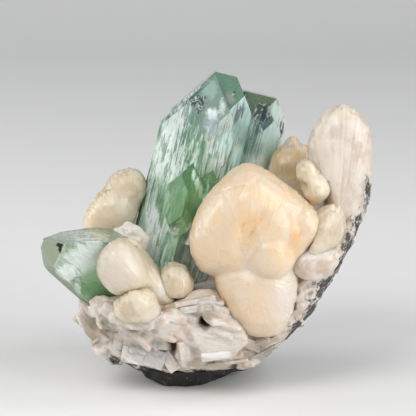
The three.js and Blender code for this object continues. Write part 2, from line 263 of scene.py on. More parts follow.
def rock_relief(place, normal):
    """Low lumps and chips; the foot stays flat."""
    lumps = noise.fractal(place / ROCK_LUMPS, 1.0, 2.0, 3)
    distances = noise.voronoi(place / ROCK_CHIPS)[0]
    chips = distances[1] - distances[0]
    height = ROCK_RELIEF * (0.9 * lumps - 0.5 + 0.6 * min(chips, 0.5))
    if place.z < FOOT_LEVEL:
        height = 0
    return normal * height


rock = copied("basalt_matrix", "basalt")
refined(rock, ROCK_GRAIN, ROCK_ROUNDS)
raised(rock, rock_relief)

finish = Finish("basalt")
grain = finish.cloud(ROCK_GRIT, 6, 0.7)
clouds = finish.cloud(ROCK_DUST, 5, 0.65)
specks = finish.node("TexVoronoi", {}, {"Vector": finish.place(), "Scale": 1 / ROCK_SPECKS})
dusty = clouds + 0.35 * grain + 0.1 * finish.band(finish.axis(finish.place(), "X"), *DUSTY_SIDE)
stone = finish.mix(finish.band(grain, 0.35, 0.7), ROCK_DARK, ROCK_GREY)
stone = finish.mix(finish.band(dusty, 0.72, 0.95), stone, ROCK_DUSTY)
fleck = finish.band(specks, 0.2, 0.1) * finish.band(dusty, 0.55, 0.75)
stone = finish.mix(fleck, stone, ROCK_FLECK)
rough = finish.band(grain, 0.2, 0.9) * 0.3 + 0.5
shader = finish.node(
    "BsdfPrincipled",
    {},
    {"Base Color": stone, "Roughness": rough, "Normal": finish.bump(grain, 0.3 * MM, 0.9)},
)
rock.data.materials.append(finish.surface(shader))
settled(rock, "basalt_matrix")

# ---- Stilbite bed --------------------------------------------------------------------------
# The crust that lines the shell: pearly stilbite broken into blades and ledges, pinkish white
# with brown holes between them. It is grown onto the rock all over.
BED_GRAIN = 0.52 * MM
BED_ROUNDS = 2
SPLINTER = Vector((7, 6, 4.5)) * MM
SPLINTER_RELIEF = 0.5 * MM
SPLINTER_TILT = 1.6
SPLINTER_SEED = 7
SMALLER = 0.4
BED_SWELL = 0.2 * MM
BED_CENTRE = Vector((10, 0, 60)) * MM
BED_ROUGHNESS = 0.9 * MM
BLADE_EDGE = 0.12 * MM

# The tilts of the splinters are drawn from this seed, so that each run breaks them alike.
noise.seed_set(SPLINTER_SEED)


def splinters(place, size, shift):
    """Flat broken facets: each cell of the pattern is a plane with a tilt of its own."""
    spot = Vector([along / cell for along, cell in zip(place, size)]) + Vector((shift, 0, 0))
    middle = noise.voronoi(spot)[1][0]
    tilt = noise.noise_vector(middle * 5.1)
    return SPLINTER_TILT * tilt.dot(spot - middle)


def bed_relief(place, normal):
    """Broad and small splinters with a rough grain."""
    broad = splinters(place, SPLINTER, 0)
    small = splinters(place, SPLINTER * SMALLER, 20)
    fine = noise.noise(place / BED_ROUGHNESS)
    return normal * (BED_SWELL + SPLINTER_RELIEF * (broad + 0.4 * small + 0.1 * fine))


def placed(centre, turn, size):
    """Where a blade stands: its centre, turn and size."""
    return Matrix.Translation(centre) @ turn.to_4x4() @ Matrix.Diagonal((*size, 1))


def bladed(piece, spots):
    """Adds a crisp broken blade at each spot."""
    shape = bmesh.new()
    shape.from_mesh(piece.data)
    for spot in spots:
        verts = bmesh.ops.create_cube(shape, size=1, matrix=spot)["verts"]
        edges = list({edge for vert in verts for edge in vert.link_edges})
        bmesh.ops.bevel(
            shape, geom=edges, offset=BLADE_EDGE, offset_type="OFFSET", segments=1,
            profile=0.5, affect="EDGES", material=-1, clamp_overlap=True,
        )
    shape.to_mesh(piece.data)
    shape.free()


# The large blades that stand out of the crust in front, from left to right: the centre and
# size in mm, and the turn in degrees about X, Y and Z.
BLADES = [
    ((-32.4, -20.6, 17.8), (6, 1.2, 0.7), (10, -42, 0)),
    ((-26.6, -20.9, 17), (2.8, 1.6, 5.2), (0, 8, 10)),
    ((-28.5, -19.5, 13.4), (6, 2, 3), (20, -25, 5)),
    ((-21.5, -22.2, 13), (8, 2.4, 5), (-8, 12, 4)),
    ((-15.5, -22.4, 12.2), (6, 2.4, 5.5), (-10, 20, -6)),
    ((-11.3, -22.2, 11.2), (3.4, 2, 6.6), (0, -32, 8)),
    ((-7.6, -25.6, 14.6), (1.8, 2.4, 7.6), (0, -8, 20)),
    ((-14.6, -22.8, 17.6), (5, 2, 4), (-12, -35, 12)),
    ((-20.6, -25.6, 21.6), (8, 1.6, 1.6), (0, 28, 0)),
    ((-17.6, -25.8, 23.6), (8, 1.6, 1.2), (0, 24, 0)),
    ((-3.6, -25.4, 30.6), (12, 1.8, 1.4), (0, -12, 0)),
    ((-1.6, -25.6, 29.2), (13, 1.8, 1.2), (0, -9, 0)),
    ((-2.6, -25.6, 28), (11, 1.8, 0.9), (0, -7, 0)),
    ((2.6, -27.7, 14.6), (9, 1.6, 2.4), (20, -7, 0)),
    ((6, -24.6, 11.6), (12, 1.6, 1), (0, -8, 0)),
    ((0, -24.4, 10.4), (12, 1.6, 1), (0, -2, 0)),
    ((13.4, -20.3, 15.6), (5, 1.6, 3), (0, 24, 10)),
    ((18.4, -20.2, 16.4), (6, 1.4, 2), (0, -30, 0)),
    ((17, -19.9, 13.4), (8, 1.4, 1.2), (0, -28, 0)),
]

# A broken tuft of the crust between the crystals at the left, in the same terms.
TUFT = [
    ((-25.8, -9.5, 46.6), (5, 5, 2), (20, -20, 10)),
    ((-23.4, -9, 48), (4, 4, 2), (10, 15, -30)),
    ((-20.8, -9.6, 47), (5, 4, 2.2), (-15, 45, 15)),
    ((-22.4, -11, 45.8), (6, 4, 2), (30, 5, -15)),
    ((-19.4, -9.5, 44), (3, 4, 5), (0, 20, 10)),
]

# Lumps of crust that the lower knob at the left grows out of.
COLLAR = [
    ((-25, -27.2, 25.6), (7, 3.4, 3), (0, 15, 0)),
    ((-20, -28, 24.6), (8, 3.4, 3), (0, 6, 0)),
    ((-14.6, -27.6, 25.2), (6, 3.4, 3), (0, -20, 0)),
    ((-29, -25.4, 28), (4, 3.4, 4), (0, 30, 0)),
]

# Thin ledges all over the front, along the curve of the shell: how many there are, the least
# and most of their length, depth and thickness in mm, how far they stray from that curve, how
# deep they are sunk, and how far a face that bears one looks forward and up, and how high it is.
LEDGES = 170
LEDGE_SEED = 11
LEDGE_SIZES = ((3, 9), (2, 3), (0.8, 2))
LEDGE_STRAY = 0.4
LEDGE_SINK = 0.35 * MM
LEDGE_FORWARD = 0.35
LEDGE_UPWARD = 0.5
LEDGE_TOP = 52 * MM


def ledge(face, chance):
    """A thin blade that lies along the curve of the shell, sunk in the crust at a face."""
    across = face.center - BED_CENTRE
    across.y = 0
    stray = Vector([chance.uniform(-LEDGE_STRAY, LEDGE_STRAY) for axis in range(3)])
    across = across + stray * across.length
    along = across.cross(face.normal).normalized()
    across = face.normal.cross(along)
    turn = Matrix((along, face.normal, across)).transposed()
    size = Vector([chance.uniform(least, most) for least, most in LEDGE_SIZES]) * MM
    return placed(face.center - face.normal * LEDGE_SINK, turn, size)


def blade_spots(rows):
    """Where the blades of a list stand."""
    spots = []
    for centre, size, angles in rows:
        turn = Euler([math.radians(angle) for angle in angles]).to_matrix()
        spots.append(placed(Vector(centre) * MM, turn, Vector(size) * MM))
    return spots


def bears_ledges(face):
    """The face looks forward and not up, and it isn't too high."""
    forward = -face.normal.y > LEDGE_FORWARD
    return forward and face.normal.z < LEDGE_UPWARD and face.center.z < LEDGE_TOP


# The ledges are chosen on a coarse mesh, which is then made fine with them in it.
bed = copied("stilbite_bed", "stilbite_crust")
refined(bed, 2 * BED_GRAIN, BED_ROUNDS)
front = [face for face in bed.data.polygons if bears_ledges(face)]
chance = random.Random(LEDGE_SEED)
ledges = [ledge(face, chance) for face in chance.sample(front, LEDGES)]
bladed(bed, blade_spots(TUFT + COLLAR) + ledges)
refined(bed, BED_GRAIN, BED_ROUNDS)
raised(bed, bed_relief)
bladed(bed, blade_spots(BLADES))

# Where the broken rock shows through at the right rim and under the front: the middle and
# half sizes in mm.
ROCK_EDGE = [
    ((47.4, -6, 57), (1.6, 30, 8)),
    ((44.6, -8, 49), (2, 30, 6)),
    ((41.4, -10, 43), (2.4, 30, 5)),
    ((38.4, -10, 36.5), (3.4, 30, 5)),
    ((34.6, -10, 31), (4.6, 30, 5)),
    ((30.4, -10, 25), (3.6, 30, 5)),
    ((26.8, -10, 19), (3, 30, 4)),
    ((-27, -15, 10.5), (3, 30, 2.4)),
    ((-24, -15, 8), (5, 30, 2.2)),
    ((-18, -18, 5.8), (6, 30, 2)),
    ((-9, -18, 5.2), (6, 30, 1.8)),
    ((2, -18, 4.8), (7, 30, 1.8)),
    ((13, -16, 6), (6, 30, 2)),
]
RIM_DARK = colour(0.012, 0.012, 0.012)
RIM_GREY = colour(0.12, 0.11, 0.1)
RIM_FLECK = colour(0.62, 0.58, 0.55)

# Streaks in the crust follow the curve of the shell: how fast they change for each radian along
# it and, beside each mm out from its centre, for each mm from front to back.
RING_PACE = 8
DEPTH_PACE = 0.5


def ringed(finish):
    """Coordinates along, out from and across the curve of the shell."""
    spot = finish.place(origin=BED_CENTRE, scale=(MM, MM, MM))
    across = finish.axis(spot, "X")
    drop = finish.axis(spot, "Z")
    turned = across.maths("ARCTAN2", drop) * RING_PACE
    reach = (across * across + drop * drop).maths("SQRT")
    depth = finish.axis(spot, "Y") * DEPTH_PACE
    return finish.node("CombineXYZ", {}, {0: turned, 1: reach, 2: depth})


def rock_edged(finish, tint):
    """Breaks a tint up with dark rock and white flecks where the rock shows through."""
    grain = finish.cloud(0.6 * MM, 5, 0.75)
    clouds = finish.cloud(3 * MM, 5, 0.7)
    flecks = finish.cloud(0.8, 5, 0.75, ringed(finish), 0.8)
    rocky = finish.mix(finish.band(grain, 0.4, 0.7), RIM_DARK, RIM_GREY)
    rocky = finish.mix(finish.band(flecks, 0.53, 0.6), rocky, RIM_FLECK)
    ragged = 3.4 * (clouds - 0.5) + 2 * (flecks - 0.5)
    for centre, reach in ROCK_EDGE:
        tint = finish.mix(finish.patch(centre, reach, ragged), tint, rocky)
    return tint


WHITE = colour(0.93, 0.92, 0.9)
BLOCK = colour(0.78, 0.72, 0.63)
GREYISH = colour(0.6, 0.57, 0.54)
ASH_PINK = colour(0.53, 0.46, 0.39)
SAND = colour(0.45, 0.38, 0.29)
BLUSH = colour(0.8, 0.6, 0.5)
OCHRE = colour(0.5, 0.34, 0.15)
RUST_AND_HOLE_SHADE = colour(0.2, 0.09, 0.045)
PEARL = colour(0.78, 0.72, 0.65)
PEARL_DEEP = colour(0.66, 0.56, 0.48)
PEARL_STREAK = colour(0.93, 0.91, 0.88)
PEARL_LINE = colour(0.45, 0.36, 0.29)
PEARL_HOLLOW_SHADE = colour(0.34, 0.22, 0.14)

# Where the crust changes colour: the middle and half sizes in mm, the colour and its strength.
BED_PATCHES = [
    ((1, -28, 20), (12, 8, 6), BLOCK, 0.9),
    ((-5, -28, 19), (4, 8, 5), WHITE, 0.5),
    # A painted highlight: the white glare on the front ledge.
    ((2.2, -27.5, 15.1), (5.5, 6, 1.6), WHITE, 1),
    ((1, -24, 11), (10, 6, 2.4), SAND, 0.7),
    ((-2, -25, 30.5), (9, 6, 3), colour(0.76, 0.66, 0.56), 0.7),
    # Painted shadow: the darker strip under the fibre bundle.
    ((0, -26, 26.6), (6, 6, 1.6), SAND, 0.7),
    ((-7.5, -26, 21), (3.5, 6, 7), BLUSH, 0.5),
    ((-19, -25, 24), (9, 8, 4.5), ASH_PINK, 0.8),
    ((-34, -20, 21), (6, 8, 8), SAND, 0.8),
    ((-30, -20, 24.5), (6, 8, 4), colour(0.36, 0.36, 0.22), 0.7),
    ((-31.4, -20, 21.5), (1.2, 6, 4.5), OCHRE, 0.8),
    ((-18, -22, 13), (10, 8, 6), GREYISH, 0.9),
    ((-26.8, -18, 11.5), (1.3, 5, 2), OCHRE, 0.8),
    ((-12.3, -24, 27.5), (2.2, 6, 2.8), OCHRE, 0.5),
    ((-22.5, -10, 46.5), (9, 8, 9), colour(0.8, 0.76, 0.68), 0.9),
    ((16, -19, 15), (9, 8, 5.5), SAND, 0.6),
    ((20, -18, 13), (10, 8, 4), colour(0.3, 0.26, 0.22), 0.7),
    # Holes and crevices painted dark brown: partly brown staining and partly painted shade of the
    # hollows.
    ((-0.7, -20, 23), (2.4, 6, 2.4), RUST_AND_HOLE_SHADE, 1),
    ((-10.2, -18, 15.4), (1.5, 5, 3.6), RUST_AND_HOLE_SHADE, 1),
    ((8.5, -13, 8), (3.4, 8, 2.4), RUST_AND_HOLE_SHADE, 1),
]

finish = Finish("pearly stilbite")
hollow = finish.mark("hollow")
clouds = finish.cloud(5 * MM, 5, 0.6)
streaks = finish.cloud(1.0, 6, 0.7, ringed(finish), 0.6)
grain = finish.cloud(0.6 * MM, 4, 0.6)
cells = finish.node("TexVoronoi", {}, {"Vector": ringed(finish), "Scale": 0.7})
ragged = 1.4 * (clouds - 0.5) + 0.8 * (streaks - 0.5)
pearl = finish.mix(finish.band(clouds, 0.42, 0.6), PEARL_DEEP, PEARL)
for centre, reach, shade, amount in BED_PATCHES:
    pearl = finish.mix(finish.patch(centre, reach, ragged) * amount, pearl, shade)
pearl = finish.mix(finish.band(streaks, 0.54, 0.68) * 0.65, pearl, PEARL_STREAK)
pearl = finish.mix(finish.band(streaks, 0.47, 0.32) * 0.35, pearl, PEARL_LINE)
# Painted shade: darker and browner where the crust lies hollow.
pearl = finish.mix(finish.band(hollow, 0.12, 0.35) * 0.6, pearl, PEARL_HOLLOW_SHADE)
pearl = rock_edged(finish, pearl)
shader = finish.node(
    "BsdfPrincipled",
    {"subsurface_method": "RANDOM_WALK"},
    {
        "Base Color": pearl,
        "Roughness": 0.22 + 0.4 * grain,
        "Subsurface Weight": 0.4,
        "Subsurface Radius": (1.0, 0.75, 0.6),
        "Subsurface Scale": 1.5 * MM,
        "Coat Weight": 0.25,
        "Coat Roughness": 0.2,
        "Normal": finish.bump(streaks + 0.5 * grain + 0.5 * cells, 0.5 * MM, 0.85),
    },
)
bed.data.materials.append(finish.surface(shader))
settled(bed, "stilbite_bed")

# ---- Stilbite sheaves ----------------------------------------------------------------------
# Bow-ties and fans of fibrous stilbite, translucent peach to cream. Each is a bundle of fibres
# that spreads from a narrow waist and ends in a finely toothed rim, rooted in the crust.
SHEAF_GRAIN = 0.36 * MM
SHEAF_ROUNDS = 40
CLEFT_ROUNDS = 4
TOOTH_DEPTH = 3 * MM
FLAT = Vector((11, 8, 9)) * MM
FLAT_RELIEF = 0.22 * MM
LINE_RELIEF = 0.12 * MM
LINE_LENGTH = 12 * MM
LINE_DEPTH = 9 * MM
FOLD_DEPTH = 0.9 * MM
FOLD_WIDTH = 2.0 * MM
LUMPS = 4.5 * MM

# Fibres spread from the waist sideways, up and down, and hardly towards the front or back.
FIBRE_SPREAD = (1, 25, 1)


def closed(piece, reach):
    """Fills the clefts between the lobes of a piece that are narrower than twice the reach."""
    refined(piece, SHEAF_GRAIN, CLEFT_ROUNDS)
    for vert in piece.data.vertices:
        vert.co += vert.normal * reach
    refined(piece, SHEAF_GRAIN, SHEAF_ROUNDS)
    moves = [vert.normal * reach for vert in piece.data.vertices]
    for vert, move in zip(piece.data.vertices, moves):
        vert.co -= move


def fibred(piece, waist, tooth, pitch, swell, rough, folds):
    """Fibres fan out from the waist; the broad faces are smooth and the rim ends in teeth."""

    def folded(place):
        """How deep the folds cut in at a place."""
        depth = 0
        for start, end in folds:
            share = intersect_point_line(place, start, end)[1]
            nearest = start.lerp(end, min(1, max(0, share)))
            depth += FOLD_DEPTH * math.exp(-(((place - nearest).length / FOLD_WIDTH) ** 2))
        return min(depth, FOLD_DEPTH)

    def relief(place, normal):
        """Swells the piece, and carves its flats, fibres, folds, lumps and teeth."""
        ray = Vector((place.x - waist.x, 0, place.z - waist.z))
        way = ray.normalized()
        angle = math.atan2(ray.x, ray.z)
        end_on = max(0, normal.dot(way)) ** 4
        spot = Vector((angle / pitch, place.y / TOOTH_DEPTH, 0))
        gaps, centres = noise.voronoi(spot)
        small = noise.voronoi(spot * 2.3)[0]
        crease = min(1, (gaps[1] - gaps[0]) / 0.5)
        own = noise.noise(centres[0] * 3.7)
        teeth = own + 0.9 * crease - 0.7 + 0.5 * min(1, (small[1] - small[0]) / 0.5)
        plane = splinters(place, FLAT, 7) + 0.6 * splinters(place, FLAT * SMALLER, 3)
        fibre = Vector((angle / pitch * 3, ray.length / LINE_LENGTH, place.y / LINE_DEPTH))
        line = noise.noise(fibre)
        side = FLAT_RELIEF * plane + LINE_RELIEF * line * (1 - end_on) - folded(place)
        lumps = rough * noise.fractal(place / LUMPS, 1.2, 2.0, 3)
        return normal * (swell + side + lumps) + way * tooth * teeth * end_on

    raised(piece, relief)


def stilbite_finish(name, waist, pitch, shades, patches, contrast, rocky):
    """Fibrous stilbite: fine lines run out from the waist, with painted shade that makes it deeper
    in the hollows and at the rim.
    """
    finish = Finish(name)
    body, pale, deep = shades
    ray = finish.place(origin=waist, scale=FIBRE_SPREAD)
    way = finish.node("VectorMath", {"operation": "NORMALIZE"}, {0: ray})
    lines = finish.cloud(pitch / 3, 4, 0.65, way)
    ripples = finish.cloud(pitch * 2, 3, 0.6, way)
    clouds = finish.cloud(6 * MM, 5, 0.6)
    grain = finish.cloud(0.5 * MM, 3, 0.6)
    hollow = finish.mark("hollow")
    # Painted shade: the rim, where the surface turns side-on to the front, is made deeper.
    frontal = finish.axis(finish.node("TexCoord", output="Normal"), "Y").maths("ABSOLUTE")
    rim = finish.band(frontal, 0.45, 0.1)
    tint = finish.mix(finish.band(clouds + 0.3 * lines, 0.55, 0.75), body, pale)
    tint = finish.mix(rim * 0.35, tint, deep)
    fibres = finish.band(lines, 0.46, 0.56)
    ragged = 0.8 * (ripples - 0.5) + 0.8 * (clouds - 0.5)
    for centre, reach, shade, amount, streaky in patches:
        here = finish.patch(centre, reach, ragged, 0) * amount * (1 - streaky + streaky * fibres)
        tint = finish.mix(here, tint, shade)
    tint = finish.mix(finish.band(lines, 0.52, 0.7) * 0.6 * contrast, tint, pale)
    tint = finish.mix(finish.band(lines, 0.48, 0.34) * 0.35 * contrast, tint, deep)
    # Painted shade: deeper in the hollows.
    tint = finish.mix(finish.band(hollow, 0.02, 0.12) * 0.6, tint, deep)
    if rocky:
        tint = rock_edged(finish, tint)
    shader = finish.node(
        "BsdfPrincipled",
        {"subsurface_method": "RANDOM_WALK"},
        {
            "Base Color": tint,
            "Roughness": 0.3 + 0.25 * lines,
            "Subsurface Weight": 0.5,
            "Subsurface Radius": (1.0, 0.6, 0.35),
            "Subsurface Scale": 2.5 * MM,
            "Coat Weight": 0.35,
            "Coat Roughness": 0.12,
            "Normal": finish.bump(contrast * lines + 0.5 * grain, 0.3 * MM, 0.55),
        },
    )
    return finish.surface(shader)


def sheaf(
    node, waist, tooth, pitch, swell, rough, shades, patches,
    contrast=0.3, cleft=0, folds=(), lean=0, pivot=0, rocky=False,
):
    """
    Makes a sheaf of its CAD node. In mm: its waist, the height of its teeth, how far it swells,
    how lumpy it is, how far its clefts are filled, and its folds, from end to end. The pitch is
    the angle between two teeth, in radians. The lean brings it forward by that share of how far
    it lies to the left of the pivot, an x in mm. A rocky one has bare rock on its rim.
    """
    waist = Vector(waist) * MM
    piece = copied(node, node + "_growth")
    for vert in piece.data.vertices:
        vert.co.y -= lean * (pivot * MM - vert.co.x)
    if cleft:
        closed(piece, cleft * MM)
    refined(piece, SHEAF_GRAIN, SHEAF_ROUNDS)
    folds = [[Vector(corner) * MM for corner in fold] for fold in folds]
    fibred(piece, waist, tooth * MM, pitch, swell * MM, rough * MM, folds)
    piece.data.materials.append(
        stilbite_finish(node, waist, pitch, shades, patches, contrast, rocky)
    )
    settled(piece, node)


ORANGE = colour(0.85, 0.5, 0.2)
PEACH = colour(0.8, 0.62, 0.42)
PEACH_PALE = colour(0.77, 0.63, 0.48)
PEACH_DEEP = colour(0.6, 0.42, 0.22)
PEACHY = (PEACH, PEACH_PALE, PEACH_DEEP)
CREAM = colour(0.64, 0.54, 0.38)
CREAM_PALE = colour(0.74, 0.66, 0.52)
CREAM_DEEP = colour(0.45, 0.33, 0.2)
CREAMY = (CREAM, CREAM_PALE, CREAM_DEEP)
PINK = colour(0.62, 0.52, 0.43)
PINK_PALE = colour(0.74, 0.67, 0.6)
PINK_DEEP = colour(0.52, 0.37, 0.26)
PINKISH = (PINK, PINK_PALE, PINK_DEEP)

# The large smooth cap in the middle, with folds around its two swellings. The patches of a
# sheaf: the middle and half sizes in mm, the colour, its strength, and how far the fibres
# break it up.
CAP_PATCHES = [
    ((11.4, -28, 52), (5, 8, 8), ORANGE, 0.45, 0),
    ((14.5, -29, 55), (6, 8, 4.5), ORANGE, 0.45, 0),
    ((25.4, -26, 51), (3.6, 8, 10), ORANGE, 0.9, 0),
    # Painted shade: a darker cream down the cap's left edge.
    ((-1, -18, 52), (3, 12, 12), CREAM, 0.5, 0),
    # A painted highlight: the silky sheen on the stem under the cap.
    ((12, -27, 40), (4, 5, 5), WHITE, 0.7, 0.6),
    ((23, -26, 31), (9, 9, 14), PINK_PALE, 0.9, 0),
    ((22, -26, 32), (9, 9, 14), WHITE, 0.7, 1),
    ((20, -26, 30), (7, 9, 12), PINK_DEEP, 0.4, 1),
    ((5, -26, 30), (4, 8, 9), ORANGE, 0.25, 0),
]
CAP_FOLDS = [
    ((15.6, -28.6, 57), (11.4, -28.6, 53)),
    ((11.4, -28.6, 53), (9.6, -28.4, 47)),
    ((25.6, -26.4, 56.5), (25.4, -26.4, 51)),
    ((25.4, -26.4, 51), (23, -27.4, 46)),
]
sheaf(
    "stilbite_sheaf_centre", waist=(12.5, -12, 40), tooth=0.22, pitch=0.05, swell=0.45,
    rough=0.05, shades=PEACHY, patches=CAP_PATCHES, folds=CAP_FOLDS,
)

# The pair of lobes on the left crystal, grown into each other.
FRONT_LEFT_PATCHES = [
    ((-26, -28, 41), (13, 9, 12), PINK_PALE, 0.8, 0),
    ((-29, -28, 37), (6, 9, 5), BLUSH, 0.3, 0),
    ((-14, -24, 34), (4, 9, 12), WHITE, 0.7, 0.7),
]
sheaf(
    "stilbite_sheaf_front_left", waist=(-12, -16, 28), tooth=0.3, pitch=0.06, swell=0.6,
    rough=0.12, shades=CREAMY, patches=FRONT_LEFT_PATCHES, cleft=3,
)

# The pair of lobes behind it.
LIT_BUFF = colour(0.86, 0.73, 0.55)
BACK_LEFT_PATCHES = [
    # Painted light: the lower lobes made paler where the crystal in front of them shades them.
    ((-32, 0, 48), (13, 16, 10), LIT_BUFF, 0.8, 0),
    ((-36, 0, 46), (5, 16, 12), PEACH, 0.5, 0),
]
sheaf(
    "stilbite_sheaf_back_left", waist=(-20, 6, 38), tooth=0.5, pitch=0.06, swell=0.3,
    rough=0.2, shades=CREAMY, patches=BACK_LEFT_PATCHES, cleft=3,
)

# The tall pale fan at the right, with dark rock on its rim.
FAN_PALE = colour(0.84, 0.76, 0.67)
FAN_SHADE = colour(0.42, 0.38, 0.35)
FAN_PATCHES = [
    ((38, -10, 68), (6, 8, 15), FAN_PALE, 0.9, 0),
    ((37, -10, 52), (6, 8, 14), FAN_PALE, 0.9, 0),
    ((48, -8, 70), (2.4, 8, 14), PINK, 0.8, 0.3),
    ((32.5, -8, 74), (2, 8, 11), CREAM_PALE, 0.7, 0),
    ((40, -8, 83), (9, 8, 3), CREAM_PALE, 0.7, 0),
    # Painted shade down the right side of the fan.
    ((46, -8, 56), (2, 8, 12), FAN_SHADE, 0.6, 0),
]
sheaf(
    "stilbite_fan_right", waist=(38, -3, 42), tooth=1.1, pitch=0.08, swell=0.45, rough=0.2,
    shades=PINKISH, patches=FAN_PATCHES, contrast=0.7, rocky=True,
)

# The brownish plate behind, with its pointed tuft.
AMBER = colour(0.7, 0.52, 0.3)
AMBER_PALE = colour(0.76, 0.63, 0.47)
AMBER_DEEP = colour(0.28, 0.17, 0.08)
TUFT_GREY = colour(0.55, 0.52, 0.42)
PLATE_PATCHES = [
    ((24.5, 11, 70), (2.4, 8, 4.6), TUFT_GREY, 0.9, 0),
    ((29, 9, 69.6), (6, 8, 1.4), AMBER_PALE, 0.9, 0),
    ((27, 9, 62), (3, 8, 5), PEACH_DEEP, 0.5, 0),
]
sheaf(
    "stilbite_plate_back", waist=(26, 14, 30), tooth=0.6, pitch=0.06, swell=0.45, rough=0.2,
    shades=(AMBER, AMBER_PALE, AMBER_DEEP), patches=PLATE_PATCHES,
)

# The rough knob at the foot of the main group, with a green glint of the crystals in it.
GREEN_GLINT = colour(0.66, 0.66, 0.5)
GREEN_SHADE = colour(0.46, 0.44, 0.28)
MIDDLE_KNOB_PATCHES = [
    ((-9, -18, 39), (4, 9, 2), GREEN_GLINT, 0.8, 0.3),
    ((-11, -18, 35), (3, 9, 6), GREEN_SHADE, 0.7, 0),
    ((-6, -18, 29.5), (5, 9, 2.2), PINK_PALE, 0.8, 0),
]
sheaf(
    "stilbite_nub_middle", waist=(-8, -13, 26), tooth=0.6, pitch=0.12, swell=0.45, rough=0.6,
    shades=CREAMY, patches=MIDDLE_KNOB_PATCHES,
)

# The rough knob below the lobes at the left, with one fold across it.
LOWER_KNOB_PATCHES = [
    ((-16, -27, 21), (9, 9, 3.4), ASH_PINK, 0.8, 0),
    ((-15, -28, 27), (7, 9, 5), PINK_PALE, 0.8, 0),
    ((-13, -28, 26), (3.4, 6, 3), WHITE, 0.7, 0.5),
]
sheaf(
    "stilbite_nub_lower", waist=(-16, -20, 24), tooth=0.6, pitch=0.12, swell=0.6, rough=0.7,
    shades=CREAMY, patches=LOWER_KNOB_PATCHES, folds=[((-24.5, -32, 27.5), (-16, -32, 29.5))],
)

# The bud between the cap and the fan, with one fold across it.
BUD_PATCHES = [
    ((30, -16, 65), (4, 9, 3), CREAM_PALE, 0.8, 0),
    ((31.5, -14, 57), (4, 9, 3.4), PEACH, 0.4, 0),
]
sheaf(
    "stilbite_bud_right", waist=(33, -6, 54), tooth=0.9, pitch=0.14, swell=0.9, rough=0.7,
    shades=CREAMY, patches=BUD_PATCHES, folds=[((26.5, -14, 61.5), (34, -13, 65))],
)

# The lobe under the bud, which leans forward to meet the cap.
DUN = colour(0.54, 0.44, 0.33)
LOBE_PATCHES = [
    ((34, -20, 52), (8, 9, 7), DUN, 0.9, 0),
    ((36, -20, 45.5), (6, 9, 3), PINK, 0.8, 0),
    ((38, -20, 54), (5, 9, 2.4), PINK_PALE, 0.4, 0),
]
sheaf(
    "stilbite_lobe_right", waist=(30, -8, 42), tooth=0.8, pitch=0.1, swell=1.2, rough=0.25,
    shades=CREAMY, patches=LOBE_PATCHES, lean=0.6, pivot=37,
)

# The rough lobe under that one.
LOW_LOBE_PATCHES = [
    ((31, -24, 44), (5, 9, 2.5), WHITE, 0.5, 0),
    ((33, -22, 40), (6, 9, 2.5), PINK_DEEP, 0.4, 0),
]
sheaf(
    "stilbite_lobe_right_lower", waist=(24, -12, 37), tooth=1.2, pitch=0.1, swell=1, rough=0.9,
    shades=PINKISH, patches=LOW_LOBE_PATCHES, contrast=0.7,
)

# ---- Apophyllite ---------------------------------------------------------------------------
# Clear green prisms with pyramid tips, hard and glassy. The prism faces are striated along the
# crystals and silky with fine white veils, the tip faces are smooth. They root in the crust.
EDGE = 0.25 * MM
SEAM_ANGLE = math.radians(1)
SHARP_ANGLE = math.radians(12)


def edged(piece, facets):
    """Dissolves the seams of flat faces, notes the tint of some and bevels the real edges."""
    shape = bmesh.new()
    shape.from_mesh(piece.data)
    bmesh.ops.dissolve_limit(
        shape, angle_limit=SEAM_ANGLE, verts=shape.verts, edges=shape.edges
    )
    shape.faces.ensure_lookup_table()
    tints = shape.faces.layers.float_color.new("facet")
    for face in shape.faces:
        face[tints] = (0, 0, 0, 0)
    tree = BVHTree.FromBMesh(shape)
    for spot, tint, strength in facets:
        face = shape.faces[tree.find_nearest(Vector(spot) * MM)[2]]
        face[tints] = (*tint[:3], strength)
    sharp = [edge for edge in shape.edges if edge.calc_face_angle(0) > SHARP_ANGLE]
    rounded = bmesh.ops.bevel(
        shape, geom=sharp, offset=EDGE, offset_type="OFFSET", segments=2, profile=0.5,
        affect="EDGES", material=-1, clamp_overlap=True,
    )["faces"]
    ridge = shape.verts.layers.float.new("edge")
    strips = set(rounded)
    for vert in shape.verts:
        vert[ridge] = float(all(face in strips for face in vert.link_faces))
    shape.to_mesh(piece.data)
    shape.free()


MINT = colour(0.2, 0.4, 0.23)
FROST = colour(0.27, 0.42, 0.37)
MILK_AND_HIGHLIGHT = colour(0.9, 0.98, 0.94)
GREEN = colour(0.15, 0.34, 0.14)
DEEP_GREEN = colour(0.05, 0.19, 0.03)
SMOKE = colour(0.025, 0.04, 0.055)
HAZE = colour(0.15, 0.24, 0.25)
BRIGHT = colour(0.7, 0.98, 0.93)
LAVENDER = colour(0.4, 0.48, 0.5)
TIP = colour(0.36, 0.5, 0.43)
LEAF = colour(0.3, 0.55, 0.27)
PALE_LEAF = colour(0.62, 0.82, 0.66)
PALE_MINT = colour(0.38, 0.55, 0.45)
OLIVE = colour(0.14, 0.2, 0.08)
INK = colour(0.01, 0.015, 0.01)
GLASS = colour(0.93, 0.98, 0.94)
GLASS_IOR = 1.535

# How fast the marks in a crystal change across it and along it, so that they are drawn out.
LINE_PACE = (1, 1, 0.09)
SILK_PACE = (1, 1, 0.25)
ZONE_PACE = (1, 1, 0.4)
FLAKE_PACE = (1, 1, 0.22)


